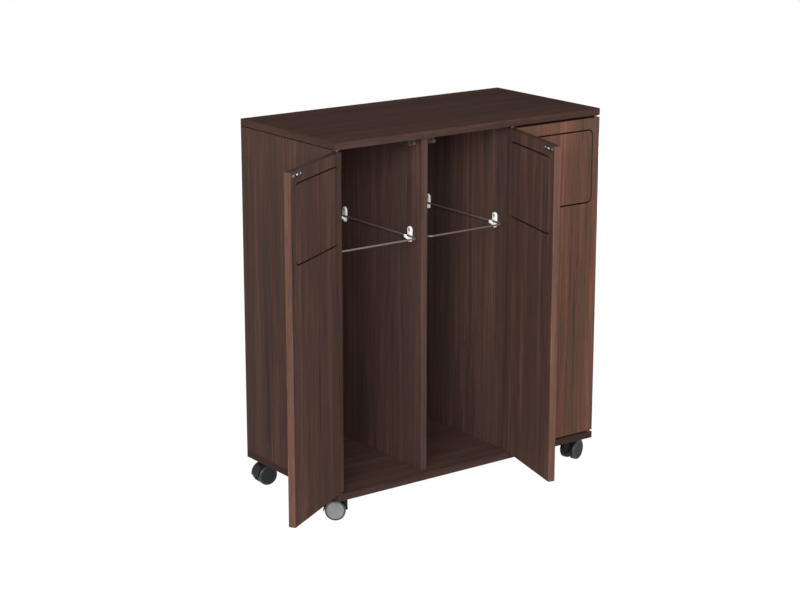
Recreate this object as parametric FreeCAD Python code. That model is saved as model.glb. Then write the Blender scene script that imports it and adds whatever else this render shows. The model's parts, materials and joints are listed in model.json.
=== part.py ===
import FreeCAD, Part
import math
import os

# Waste sorting cabinet on casters: three bays, each with a swing door, a push-in flap and a bag ring.
# Millimetres. +X is right, +Y is back, +Z is up. The origin is on the floor under the carcass centre.

# Carcass
cabinet_width = 693.0
cabinet_depth = 350.0
cabinet_height = 803.0
floor_clearance = 55.0
board = 15.0
back_board = 3.0
back_inset = 13.5
groove_depth = 6.0
groove_play = 0.2

# Fits shared by all pieces
press_play = 0.02
running_play = 0.05

# Doors and the angles at which they stand open
door_board = 15.0
door_end_gap = 4.5
door_edge_round = 2.0
door_swing_play = 1.0
pivot_inset = 7.5
left_door_open = 149.5
middle_door_open = 75.1
right_door_open = 0.0

# Pivot pins in the door ends and their bushes in the top and bottom panels
pivot_radius = 3.0
pivot_seat = 14.0
pivot_end_play = 0.1
bush_radius = 5.0
bush_depth = 8.0
bush_floor = 1.5
bush_flange_radius = 6.5
bush_flange = 1.0

# Push-in flaps in the doors
flap_side_margin = 18.0
flap_top_margin = 24.0
flap_opening_height = 162.0
flap_gap = 3.0
flap_swing_play = 0.8
flap_corner = 10.0
flap_pin_radius = 2.5
flap_pin_in_door = 8.0
flap_pin_in_flap = 10.0
flap_pin_end_play = 0.5

# Wire rings that hold the bags, and the hooks they lie in
ring_rise = 506.0
ring_wire_radius = 2.0
ring_wall_gap = 6.5
ring_front_gap = 5.0
ring_back_gap = 7.0
ring_corner = 12.0
ring_seat_play = 0.3
hook_from_ring_end = 34.0
hook_width = 14.0
hook_height = 33.5
hook_lift = 2.4
hook_plate = 4.0
hook_edge_round = 1.2
hook_reach = 12.0
hook_tongue_width = 8.0
hook_tongue_thickness = 5.0
hook_tongue_slope = 38.0
hook_tip_rise = 3.0
hook_screw_rise = 12.4
hook_screw_radius = 1.75
hook_screw_head_radius = 3.2
hook_screw_head = 1.6
hook_screw_tip_gap = 1.0

# Touch latches under the top panel and strike plates on the doors
latch_from_edge = 23.0
latch_setback = 6.5
latch_width = 16.0
latch_height = 16.5
latch_length = 60.0
latch_edge_round = 1.5
plunger_drop = 11.5
plunger_width = 11.0
plunger_height = 6.4
plunger_length = 22.0
plunger_edge_round = 1.5
plunger_play = 0.3
plunger_travel = 4.0
latch_screw_radius = 1.75
latch_screw_head_radius = 3.2
latch_screw_head = 2.0
latch_screw_spacing = 18.0
latch_screw_end = 8.0
latch_screw_grip = 10.0
strike_gap = 0.3
strike_length = 40.0
strike_height = 12.0
strike_thickness = 1.5
strike_corner = 2.5
strike_boss_radius = 4.5
strike_boss = 0.8
strike_hole_radius = 1.6
strike_hole_spacing = 31.0

# Knock-down joinery of the carcass
joint_inset = 45.0
cam_radius = 7.5
cam_depth = 12.5
cam_drop = 24.0
cam_slot_depth = 4.0
bolt_radius = 3.0
bolt_grip = 11.0
bolt_hole_radius = 3.6
dowel_radius = 4.0
dowel_length = 30.0
dowel_in_panel = 10.0
base_screw_radius = 3.5
base_screw_head_radius = 5.0
base_screw_head = 4.0
base_screw_grip = 35.0

# Twin-wheel swivel casters and the headings they rest at, in degrees from +X
caster_inset_x = 40.0
caster_inset_y = 37.0
caster_trail = 18.0
caster_plate_size = 42.0
caster_plate = 2.5
caster_plate_corner = 6.0
caster_hole_spacing = 30.0
caster_screw_radius = 2.0
caster_screw_head_radius = 3.8
caster_screw_head = 2.0
caster_screw_grip = 12.0
stem_radius = 3.0
stem_length = 22.0
stem_end_play = 0.5
stem_boss_radius = 7.0
swivel_gap = 0.3
wheel_radius = 22.0
wheel_width = 12.75
wheel_edge_round = 2.6
wheel_inner_round = 1.2
wheel_ring_radius = 18.6
wheel_ring_width = 0.8
wheel_ring_depth = 0.6
wheel_gap = 0.75
web_thickness = 9.0
web_hub_radius = 8.0
axle_radius = 2.5
axle_in_wheel = 10.0
axle_end_play = 0.5
fender_play = 1.2
fender_wall = 1.8
fender_below_axle = 2.0
fender_past_top = 6.0
front_left_heading = 141.7
front_right_heading = 17.0
rear_left_heading = 175.0
rear_right_heading = 25.0

# Planes and places that follow from the sizes above
half_width = cabinet_width / 2
front = -cabinet_depth / 2
back = cabinet_depth / 2
inside_bottom = floor_clearance + board
inside_top = cabinet_height - board
bay_width = (cabinet_width - 4 * board) / 3
bay_pitch = bay_width + board
door_swing_radius = door_edge_round + math.hypot(pivot_inset - door_edge_round, door_board / 2 - door_edge_round)
door_standoff = door_swing_radius - door_board / 2 + door_swing_play
door_between_gap = door_swing_radius - pivot_inset + door_swing_play
door_width = (cabinet_width - 2 * door_between_gap) / 3
door_pitch = door_width + door_between_gap
door_back = front + door_board
door_middle = front + door_board / 2
door_bottom = inside_bottom + door_end_gap
door_top = inside_top - door_end_gap
carcass_front = door_back + door_standoff
back_rear = back - back_inset
back_front = back_rear - back_board
flap_reach = flap_gap - flap_swing_play
flap_pivot_drop = ((door_board / 2) ** 2 - flap_reach ** 2) / (2 * flap_reach)
opening_top = door_top - flap_top_margin
opening_bottom = opening_top - flap_opening_height
flap_top = opening_top - flap_gap
flap_bottom = opening_bottom + flap_gap
flap_pivot_height = flap_top - flap_pivot_drop
ring_height = inside_bottom + ring_rise
ring_front = carcass_front + ring_front_gap
ring_back = back_front - ring_back_gap
plunger_height_above_floor = inside_top - plunger_drop
strike_face = door_back + strike_thickness + strike_boss
plunger_tip = strike_face + strike_gap
latch_front = carcass_front + latch_setback
joint_front = carcass_front + joint_inset
joint_rear = back_front - joint_inset
joint_middle = (joint_front + joint_rear) / 2
axle_height = wheel_radius
wheel_well_radius = wheel_radius + fender_play
fender_radius = wheel_well_radius + fender_wall
caster_half_width = web_thickness / 2 + wheel_gap + wheel_width
plate_underside = floor_clearance - caster_plate
hood_top = plate_underside - swivel_gap

x_axis = FreeCAD.Vector(1, 0, 0)
y_axis = FreeCAD.Vector(0, 1, 0)
z_axis = FreeCAD.Vector(0, 0, 1)


def point(x, y, z):
    return FreeCAD.Vector(x, y, z)


def block(x_pair, y_pair, z_pair):
    low = point(min(x_pair), min(y_pair), min(z_pair))
    high = point(max(x_pair), max(y_pair), max(z_pair))
    return Part.makeBox(high.x - low.x, high.y - low.y, high.z - low.z, low)


def rod(start, direction, radius, length):
    return Part.makeCylinder(radius, length, start, direction)


def edges_along(shape, direction):
    picked = []
    for edge in shape.Edges:
        span = edge.Vertexes[-1].Point - edge.Vertexes[0].Point
        if span.Length > 0 and abs(span.normalize().dot(direction)) > 0.999:
            picked.append(edge)
    return picked


def rounded_block(x_pair, y_pair, z_pair, direction, radius):
    body = block(x_pair, y_pair, z_pair)
    return body.makeFillet(radius, edges_along(body, direction))


def cut(body, tools):
    return body.cut(tools).Solids[0]


def save(name, solids):
    Part.makeCompound(solids).exportStep("parts/" + name + ".step")


def countersunk_screw(tip, direction, radius, head_radius, head_length, length):
    shank = rod(tip, direction, radius, length - head_length)
    neck = tip + direction * (length - head_length)
    head = Part.makeCone(radius, head_radius, head_length, neck, direction)
    return shank.fuse(head).Solids[0]


def screw_hole(tip, direction, radius, head_radius, head_length, length):
    play = press_play
    return countersunk_screw(tip, direction, radius + play, head_radius + play, head_length, length)


# Pivot places of the doors: a bay number, the side of the hinge and the angle at rest
def door_layout(bay, hinge_side, open_angle):
    centre = bay * door_pitch
    hinge_edge = centre + hinge_side * door_width / 2
    free_edge = centre - hinge_side * door_width / 2
    return {
        "hinge_edge": hinge_edge,
        "free_edge": free_edge,
        "pivot_x": hinge_edge - hinge_side * pivot_inset,
        "latch_x": free_edge + hinge_side * latch_from_edge,
        "swing": hinge_side * open_angle,
    }


doors = {
    "left": door_layout(-1, -1, left_door_open),
    "middle": door_layout(0, 1, middle_door_open),
    "right": door_layout(1, 1, right_door_open),
}
bays = {"left": -bay_pitch, "middle": 0.0, "right": bay_pitch}
headings = {
    "front_left": (-1, -1, front_left_heading),
    "front_right": (1, -1, front_right_heading),
    "rear_left": (-1, 1, rear_left_heading),
    "rear_right": (1, 1, rear_right_heading),
}
upright_centres = [-1.5 * bay_pitch, -0.5 * bay_pitch, 0.5 * bay_pitch, 1.5 * bay_pitch]
upright_names = ["left_side_panel", "left_divider", "right_divider", "right_side_panel"]
cam_faces = [1, 1, 1, -1]


# Bushes and pins of the door pivots
def pivot_bush(pivot_x, panel_face, inward):
    start = point(pivot_x, door_middle, panel_face)
    barrel = rod(start, z_axis * inward, bush_radius, bush_depth)
    flange = rod(start, z_axis * -inward, bush_flange_radius, bush_flange)
    mouth = start - z_axis * inward * bush_flange
    bore_length = bush_depth + bush_flange - bush_floor
    bore = rod(mouth, z_axis * inward, pivot_radius + running_play, bore_length)
    return barrel.fuse(flange).cut(bore).Solids[0]


def bush_hole(pivot_x, panel_face, inward):
    start = point(pivot_x, door_middle, panel_face)
    return rod(start, z_axis * inward, bush_radius + press_play, bush_depth + press_play)


def pivot_pin(pivot_x, door_end, outward):
    start = point(pivot_x, door_middle, door_end - outward * pivot_seat)
    length = pivot_seat + door_end_gap + bush_depth - bush_floor - pivot_end_play
    return rod(start, z_axis * outward, pivot_radius, length)


def pin_hole(pivot_x, door_end, outward):
    start = point(pivot_x, door_middle, door_end)
    return rod(start, z_axis * -outward, pivot_radius + press_play, pivot_seat + press_play)


# Flap pins lie along X in the two upright edges of each door opening
def opening_edges(layout):
    low, high = sorted((layout["hinge_edge"], layout["free_edge"]))
    return low + flap_side_margin, high - flap_side_margin


def flap_pins(layout):
    low, high = opening_edges(layout)
    length = flap_pin_in_door + flap_gap + flap_pin_in_flap
    starts = [low - flap_pin_in_door, high + flap_pin_in_door - length]
    return [rod(point(x, door_middle, flap_pivot_height), x_axis, flap_pin_radius, length) for x in starts]


def flap_pin_holes(layout, play, end_play):
    low, high = opening_edges(layout)
    length = flap_pin_in_door + flap_gap + flap_pin_in_flap + 2 * end_play
    starts = [low - flap_pin_in_door - end_play, high + flap_pin_in_door + end_play - length]
    return [rod(point(x, door_middle, flap_pivot_height), x_axis, flap_pin_radius + play, length) for x in starts]


# Doors, flaps and strike plates, built closed
def door_panel(layout):
    body = block((layout["hinge_edge"], layout["free_edge"]), (front, door_back), (door_bottom, door_top))
    uprights = edges_along(body, z_axis)
    hinge_edges = [edge for edge in uprights if abs(edge.Vertexes[0].X - layout["hinge_edge"]) < press_play]
    body = body.makeFillet(door_edge_round, hinge_edges)
    z_pair = (opening_bottom, opening_top)
    opening = rounded_block(opening_edges(layout), (front, door_back), z_pair, y_axis, flap_corner + flap_gap)
    holes = [pin_hole(layout["pivot_x"], door_top, 1), pin_hole(layout["pivot_x"], door_bottom, -1)]
    return cut(body, [opening] + holes + flap_pin_holes(layout, press_play, press_play))


def flap_panel(layout):
    low, high = opening_edges(layout)
    x_pair = (low + flap_gap, high - flap_gap)
    body = rounded_block(x_pair, (front, door_back), (flap_bottom, flap_top), y_axis, flap_corner)
    return cut(body, flap_pin_holes(layout, running_play, flap_pin_end_play))


def strike_plate(layout):
    middle = layout["latch_x"]
    z_pair = (plunger_height_above_floor - strike_height / 2, plunger_height_above_floor + strike_height / 2)
    x_pair = (middle - strike_length / 2, middle + strike_length / 2)
    y_pair = (door_back, door_back + strike_thickness)
    body = rounded_block(x_pair, y_pair, z_pair, y_axis, strike_corner)
    boss_start = point(middle, door_back, plunger_height_above_floor)
    boss = rod(boss_start, y_axis, strike_boss_radius, strike_thickness + strike_boss)
    holes = []
    for side in (-1, 1):
        start = point(middle + side * strike_hole_spacing / 2, door_back, plunger_height_above_floor)
        holes.append(rod(start, y_axis, strike_hole_radius, strike_thickness))
    return cut(body.fuse(boss), holes)


def swing_open(solids, layout):
    pivot = point(layout["pivot_x"], door_middle, 0)
    return [solid.rotated(pivot, z_axis, layout["swing"]) for solid in solids]


# Touch latches
def plunger_body(layout, play, y_pair):
    half_w = plunger_width / 2 + play
    half_h = plunger_height / 2 + play
    x_pair = (layout["latch_x"] - half_w, layout["latch_x"] + half_w)
    z_pair = (plunger_height_above_floor - half_h, plunger_height_above_floor + half_h)
    return rounded_block(x_pair, y_pair, z_pair, y_axis, plunger_edge_round)


def latch_screw_places(layout):
    last = latch_front + latch_length - latch_screw_end
    return [(layout["latch_x"], last - latch_screw_spacing), (layout["latch_x"], last)]


def latch_screw(x, y, shape):
    tip = point(x, y, inside_top + latch_screw_grip)
    length = latch_screw_grip + latch_height
    return shape(tip, -z_axis, latch_screw_radius, latch_screw_head_radius, latch_screw_head, length)


def latch_housing(layout):
    x_pair = (layout["latch_x"] - latch_width / 2, layout["latch_x"] + latch_width / 2)
    y_pair = (latch_front, latch_front + latch_length)
    body = rounded_block(x_pair, y_pair, (inside_top - latch_height, inside_top), y_axis, latch_edge_round)
    plunger_end = plunger_tip + plunger_length
    pocket = plunger_body(layout, plunger_play, (latch_front, plunger_end + plunger_travel + plunger_play))
    screws = [latch_screw(x, y, screw_hole) for x, y in latch_screw_places(layout)]
    return cut(body, [pocket] + screws)


# Bag rings: one closed wire loop with round corners
def bag_ring(bay_centre):
    half = bay_width / 2 - ring_wall_gap
    left_x, right_x = bay_centre - half, bay_centre + half
    turn = ring_corner * (1 - math.sqrt(0.5))
    edges = []
    corners = [(left_x, ring_front), (right_x, ring_front), (right_x, ring_back), (left_x, ring_back)]
    steps = [(1, 0), (0, 1), (-1, 0), (0, -1)]
    for index, (x, y) in enumerate(corners):
        out_x, out_y = steps[index]
        in_x, in_y = steps[index - 1]
        arc_start = point(x - in_x * ring_corner, y - in_y * ring_corner, ring_height)
        arc_end = point(x + out_x * ring_corner, y + out_y * ring_corner, ring_height)
        arc_middle = point(x + (out_x - in_x) * turn, y + (out_y - in_y) * turn, ring_height)
        next_x, next_y = corners[(index + 1) % 4]
        run_end = point(next_x - out_x * ring_corner, next_y - out_y * ring_corner, ring_height)
        edges.append(Part.Arc(arc_start, arc_middle, arc_end).toShape())
        edges.append(Part.LineSegment(arc_end, run_end).toShape())
    start = edges[1].Vertexes[0].Point
    section = Part.Wire(Part.makeCircle(ring_wire_radius, start, x_axis))
    return Part.Wire(edges[1:] + edges[:1]).makePipeShell([section], True, False).Solids[0]


# Hooks: a round-ended wall plate with a tongue that rises away from the wall
def hook_tongue(wall_x, inward, y):
    slope = math.radians(hook_tongue_slope)
    seat = ring_wire_radius + ring_seat_play

    def on_slope(reach, below):
        rise = (reach - ring_wall_gap) * math.tan(slope) - below / math.cos(slope)
        return point(wall_x + inward * reach, y - hook_tongue_width / 2, ring_height + rise)

    reach_end = hook_reach + hook_tongue_thickness * math.sin(slope)
    top_root = on_slope(hook_plate / 2, seat)
    top_end = on_slope(hook_reach, seat)
    low_end = on_slope(reach_end, seat + hook_tongue_thickness)
    low_root = on_slope(hook_plate / 2, seat + hook_tongue_thickness)
    tip_inner = top_end + point(inward * hook_tip_rise / 3, 0, hook_tip_rise)
    tip_outer = low_end + point(0, 0, hook_tip_rise)
    outline = Part.makePolygon([top_root, top_end, tip_inner, tip_outer, low_end, low_root, top_root])
    return Part.Face(outline).extrude(y_axis * hook_tongue_width)


def ring_hook(wall_x, inward, y):
    half = hook_width / 2
    middle = ring_height + hook_lift
    low = middle - hook_height / 2
    high = middle + hook_height / 2
    x_pair = (wall_x, wall_x + inward * hook_plate)
    plate = block(x_pair, (y - half, y + half), (low + half, high - half))
    for z in (low + half, high - half):
        plate = plate.fuse(rod(point(wall_x, y, z), x_axis * inward, half, hook_plate))
    plate = plate.removeSplitter()
    rim = [face for face in plate.Faces if abs(face.CenterOfMass.x - x_pair[1]) < press_play]
    plate = plate.makeFillet(hook_edge_round, rim[0].Edges)
    body = plate.fuse(hook_tongue(wall_x, inward, y))
    return cut(body, [hook_screw(wall_x, inward, y, screw_hole)])


def hook_screw(wall_x, inward, y, shape):
    grip = board / 2 - hook_screw_tip_gap
    tip = point(wall_x - inward * grip, y, ring_height + hook_screw_rise)
    length = grip + hook_plate
    return shape(tip, x_axis * inward, hook_screw_radius, hook_screw_head_radius, hook_screw_head, length)


hook_rows = [ring_front + hook_from_ring_end, ring_back - hook_from_ring_end]
hook_places = []
for centre in bays.values():
    for side in (-1, 1):
        for row in hook_rows:
            hook_places.append((centre + side * bay_width / 2, -side, row))


# Knock-down joints between the uprights and the top and bottom panels
def cam_place(upright, y):
    face = upright_centres[upright] + cam_faces[upright] * board / 2
    return point(face, y, inside_top - cam_drop), x_axis * -cam_faces[upright]


def cam_pocket(upright, y):
    start, direction = cam_place(upright, y)
    return rod(start, direction, cam_radius + press_play, cam_depth)


def bolt_hole(upright, y):
    start = point(upright_centres[upright], y, inside_top - cam_drop - cam_slot_depth)
    return rod(start, z_axis, bolt_hole_radius, cam_drop + cam_slot_depth)


def cam_lock(upright, y):
    start, direction = cam_place(upright, y)
    return cut(rod(start, direction, cam_radius, cam_depth), [bolt_hole(upright, y)])


def cam_bolt(upright, y, play):
    start = point(upright_centres[upright], y, inside_top - cam_drop)
    return rod(start, z_axis, bolt_radius + play, cam_drop + bolt_grip + play)


def dowel(upright, panel_face, inward, play):
    start = point(upright_centres[upright], joint_middle, panel_face + inward * (dowel_in_panel + play))
    return rod(start, z_axis * -inward, dowel_radius + play, dowel_length + 2 * play)


def base_screw(upright, y, shape):
    tip = point(upright_centres[upright], y, inside_bottom + base_screw_grip)
    length = base_screw_grip + board
    return shape(tip, -z_axis, base_screw_radius, base_screw_head_radius, base_screw_head, length)


joint_rows = (joint_front, joint_rear)
joints = [(upright, y) for upright in range(4) for y in joint_rows]


# Casters, built at the swivel axis with the wheels trailing along +X
def caster_corner(side_x, side_y):
    return point(side_x * (half_width - caster_inset_x), side_y * (back - caster_inset_y), 0)


def caster_screw_places(corner):
    half = caster_hole_spacing / 2
    return [(corner.x + x * half, corner.y + y * half) for x in (-1, 1) for y in (-1, 1)]


def caster_screw(x, y, shape):
    tip = point(x, y, floor_clearance + caster_screw_grip)
    length = caster_screw_grip + caster_plate
    return shape(tip, -z_axis, caster_screw_radius, caster_screw_head_radius, caster_screw_head, length)


def caster_plate_body(corner):
    half = caster_plate_size / 2
    x_pair = (corner.x - half, corner.x + half)
    y_pair = (corner.y - half, corner.y + half)
    body = rounded_block(x_pair, y_pair, (plate_underside, floor_clearance), z_axis, caster_plate_corner)
    stem = rod(corner + point(0, 0, plate_underside - stem_length), z_axis, stem_radius, stem_length)
    return cut(body.fuse(stem), [caster_screw(x, y, screw_hole) for x, y in caster_screw_places(corner)])


def axle_rod(radius, half_length):
    return rod(point(caster_trail, -half_length, axle_height), y_axis, radius, 2 * half_length)


def wheel_well(side):
    start = point(caster_trail, side * web_thickness / 2, axle_height)
    return rod(start, y_axis * side, wheel_well_radius, caster_half_width)


def caster_hood():
    low = axle_height - fender_below_axle
    x_pair = (caster_trail - fender_radius, caster_trail + fender_radius)
    y_pair = (-caster_half_width, caster_half_width)
    upper = block(x_pair, y_pair, (low, hood_top))
    web = axle_rod(fender_radius, web_thickness / 2).common(upper)
    trailing = block((caster_trail - fender_past_top, x_pair[1]), y_pair, (low, hood_top))
    fender = axle_rod(fender_radius, caster_half_width - wheel_edge_round).common(trailing)
    hub = axle_rod(web_hub_radius, web_thickness / 2)
    boss = rod(point(0, 0, axle_height), z_axis, stem_boss_radius, hood_top - axle_height)
    socket_depth = stem_length + stem_end_play - swivel_gap
    socket = rod(point(0, 0, hood_top), -z_axis, stem_radius + running_play, socket_depth)
    bore = axle_rod(axle_radius + press_play, web_thickness)
    body = web.fuse([fender, hub, boss])
    return cut(body, [wheel_well(-1), wheel_well(1), socket, bore])


def caster_wheel(side):
    inner = side * (web_thickness / 2 + wheel_gap)
    outer = side * caster_half_width
    body = rod(point(caster_trail, inner, axle_height), y_axis * side, wheel_radius, wheel_width)
    for place, round_radius in ((outer, wheel_edge_round), (inner, wheel_inner_round)):
        rims = [edge for edge in body.Edges if edge.isClosed()]
        rim = [edge for edge in rims if abs(edge.CenterOfMass.y - place) < press_play]
        body = body.makeFillet(round_radius, rim)
    ring_start = point(caster_trail, outer, axle_height)
    ring = rod(ring_start, y_axis * -side, wheel_ring_radius, wheel_ring_depth)
    core = rod(ring_start, y_axis * -side, wheel_ring_radius - wheel_ring_width, wheel_ring_depth)
    bore_start = point(caster_trail, inner, axle_height)
    bore = rod(bore_start, y_axis * side, axle_radius + running_play, axle_in_wheel + axle_end_play)
    return cut(body, [ring.cut(core), bore])


def place_caster(solid, corner, heading):
    return solid.rotated(point(0, 0, 0), z_axis, heading).translated(corner)


# Carcass panels
def groove(x_pair, z_pair):
    return block(x_pair, (back_front - groove_play, back_rear + groove_play), z_pair)


def lying_panel(z_pair, inner_face, inward):
    body = block((-half_width, half_width), (front, back), z_pair)
    reach = half_width - board + groove_depth
    tools = [groove((-reach, reach), (inner_face, inner_face + inward * groove_depth))]
    for upright in range(4):
        tools.append(dowel(upright, inner_face, inward, press_play))
    for layout in doors.values():
        tools.append(bush_hole(layout["pivot_x"], inner_face, inward))
    return body, tools


def top_panel():
    body, tools = lying_panel((inside_top, cabinet_height), inside_top, 1)
    tools += [cam_bolt(upright, y, press_play) for upright, y in joints]
    for layout in doors.values():
        tools += [latch_screw(x, y, screw_hole) for x, y in latch_screw_places(layout)]
    return cut(body, tools)


def bottom_panel():
    body, tools = lying_panel((floor_clearance, inside_bottom), inside_bottom, -1)
    tools += [base_screw(upright, y, screw_hole) for upright, y in joints]
    for side_x, side_y, _ in headings.values():
        places = caster_screw_places(caster_corner(side_x, side_y))
        tools += [caster_screw(x, y, screw_hole) for x, y in places]
    return cut(body, tools)


def upright_panel(upright):
    centre = upright_centres[upright]
    x_pair = (centre - board / 2, centre + board / 2)
    is_side = upright in (0, 3)
    rear = back if is_side else back_front - groove_play
    body = block(x_pair, (carcass_front, rear), (inside_bottom, inside_top))
    tools = [dowel(upright, inside_top, 1, press_play), dowel(upright, inside_bottom, -1, press_play)]
    for y in joint_rows:
        tools += [cam_pocket(upright, y), bolt_hole(upright, y), base_screw(upright, y, screw_hole)]
    for wall_x, inward, y in hook_places:
        if abs(wall_x - centre) < board:
            tools.append(hook_screw(wall_x, inward, y, screw_hole))
    if is_side:
        inner = centre + cam_faces[upright] * board / 2
        tools.append(groove((inner, inner - cam_faces[upright] * groove_depth), (inside_bottom, inside_top)))
    return cut(body, tools)


def back_panel():
    reach_x = half_width - board + groove_depth - groove_play
    reach_z = groove_depth - groove_play
    z_pair = (inside_bottom - reach_z, inside_top + reach_z)
    return block((-reach_x, reach_x), (back_front, back_rear), z_pair)


os.makedirs("parts", exist_ok=True)

save("top_panel", [top_panel()])
save("bottom_panel", [bottom_panel()])
for upright, name in enumerate(upright_names):
    save(name, [upright_panel(upright)])
save("back_panel", [back_panel()])

save("cam_locks", [cam_lock(upright, y) for upright, y in joints])
save("cam_bolts", [cam_bolt(upright, y, 0) for upright, y in joints])
faces = ((inside_top, 1), (inside_bottom, -1))
save("wood_dowels", [dowel(upright, face, inward, 0) for upright in range(4) for face, inward in faces])
save("base_screws", [base_screw(upright, y, countersunk_screw) for upright, y in joints])
save("ring_hooks", [ring_hook(*place) for place in hook_places])
save("hook_screws", [hook_screw(*place, countersunk_screw) for place in hook_places])
for name, centre in bays.items():
    save(name + "_bag_ring", [bag_ring(centre)])

bushes = []
latch_screws = []
for name, layout in doors.items():
    bushes += [pivot_bush(layout["pivot_x"], face, inward) for face, inward in faces]
    latch_screws += [latch_screw(x, y, countersunk_screw) for x, y in latch_screw_places(layout)]
    save(name + "_latch_housing", [latch_housing(layout)])
    plunger_pair = (plunger_tip, plunger_tip + plunger_length)
    save(name + "_latch_plunger", [plunger_body(layout, 0, plunger_pair)])
    pins = [pivot_pin(layout["pivot_x"], door_top, 1), pivot_pin(layout["pivot_x"], door_bottom, -1)]
    save(name + "_door", swing_open([door_panel(layout)], layout))
    save(name + "_door_pins", swing_open(pins, layout))
    save(name + "_flap", swing_open([flap_panel(layout)], layout))
    save(name + "_flap_pins", swing_open(flap_pins(layout), layout))
    save(name + "_strike_plate", swing_open([strike_plate(layout)], layout))
save("pivot_bushes", bushes)
save("latch_screws", latch_screws)

caster_screws = []
axle_half_length = web_thickness / 2 + wheel_gap + axle_in_wheel
for name, (side_x, side_y, heading) in headings.items():
    corner = caster_corner(side_x, side_y)
    caster_screws += [caster_screw(x, y, countersunk_screw) for x, y in caster_screw_places(corner)]
    save(name + "_caster_plate", [caster_plate_body(corner)])
    save(name + "_caster_hood", [place_caster(caster_hood(), corner, heading)])
    save(name + "_caster_axle", [place_caster(axle_rod(axle_radius, axle_half_length), corner, heading)])
    save(name + "_caster_left_wheel", [place_caster(caster_wheel(1), corner, heading)])
    save(name + "_caster_right_wheel", [place_caster(caster_wheel(-1), corner, heading)])
save("caster_screws", caster_screws)
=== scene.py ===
import json
import math

import bmesh
import bpy
from mathutils import Matrix, Vector


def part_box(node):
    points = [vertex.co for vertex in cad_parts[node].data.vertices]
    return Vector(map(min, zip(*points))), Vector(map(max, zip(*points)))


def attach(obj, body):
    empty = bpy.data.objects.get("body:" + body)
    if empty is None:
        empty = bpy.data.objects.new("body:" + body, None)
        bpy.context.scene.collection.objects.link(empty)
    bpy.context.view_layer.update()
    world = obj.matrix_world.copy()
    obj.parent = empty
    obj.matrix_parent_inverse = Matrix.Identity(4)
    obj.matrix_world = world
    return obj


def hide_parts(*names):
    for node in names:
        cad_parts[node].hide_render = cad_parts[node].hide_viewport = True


# Waste sorting cabinet: walnut boards, doors with push-in flaps, bag rings on hooks, twin-wheel casters
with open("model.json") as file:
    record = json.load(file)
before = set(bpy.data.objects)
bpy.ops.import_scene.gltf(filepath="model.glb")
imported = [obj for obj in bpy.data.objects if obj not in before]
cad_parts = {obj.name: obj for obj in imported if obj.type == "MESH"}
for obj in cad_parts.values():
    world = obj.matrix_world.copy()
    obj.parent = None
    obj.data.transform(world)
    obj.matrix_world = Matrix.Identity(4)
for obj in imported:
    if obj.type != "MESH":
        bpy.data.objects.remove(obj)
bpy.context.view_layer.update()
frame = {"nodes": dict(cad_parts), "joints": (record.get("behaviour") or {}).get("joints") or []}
nodes = frame["nodes"]
joints = {joint["name"]: joint for joint in frame["joints"]}
scene = bpy.context.scene
mm = 0.001
perMetre = 1000        # divided by a width in mm, it gives a noise its scale
mergeGap = 0.001       # mm; corners of the loose CAD triangles that are closer than this are one
shortestEdge = 0.003   # mm; shorter edges are taken out of a finished mesh
roundProfile = 0.5     # the profile of a bevel that follows a circle
xAxis, yAxis, zAxis = range(3)
sides = ("left", "middle", "right")
corners = ("front_left", "front_right", "rear_left", "rear_right")
print("frame loaded:", len(nodes), "nodes")


srgbCurve = {"knee": 0.04045, "slope": 12.92, "offset": 0.055, "power": 2.4}


# sRGB hex to linear light
def linear(hexText):
    color = []
    for place in (1, 3, 5):
        share = int(hexText[place:place + 2], 16) / 255
        lifted = (share + srgbCurve["offset"]) / (1 + srgbCurve["offset"])
        isDark = share <= srgbCurve["knee"]
        color.append(share / srgbCurve["slope"] if isDark else lifted ** srgbCurve["power"])
    return color + [1.0]


# sets a node's inputs, by name or number or as a list in their order;
# each is a value, a socket, or a node whose first output is meant
def setInputs(tree, node, inputs):
    for socket, value in inputs.items() if isinstance(inputs, dict) else enumerate(inputs):
        if isinstance(value, bpy.types.Node):
            value = value.outputs[0]
        if isinstance(value, bpy.types.NodeSocket):
            tree.links.new(value, node.inputs[socket])
        else:
            node.inputs[socket].default_value = value


def addNode(tree, kind, inputs=(), **settings):
    node = tree.nodes.new(kind)
    for name, value in settings.items():
        setattr(node, name, value)
    setInputs(tree, node, inputs)
    return node


# sockets of a Mix node, which go by number because several share a name
factor, under, over, mixed = 0, 6, 7, 2
firstVector, secondVector, mixedVector = 4, 5, 1
noiseSpan = (0.3, 0.7)    # a noise mostly stays between these
noiseMiddle = (0.5, 0.5, 0.5)


def newFinish(name):
    finish = bpy.data.materials.new(name)
    finish.use_nodes = True
    tree = finish.node_tree
    return finish, tree, tree.nodes["Principled BSDF"]


def setStops(ramp, places, colors):
    elements = ramp.color_ramp.elements
    while len(elements) < len(places):
        elements.new(places[-1])
    for element, place, color in zip(elements, places, colors):
        element.position = place
        element.color = linear(color)


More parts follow.
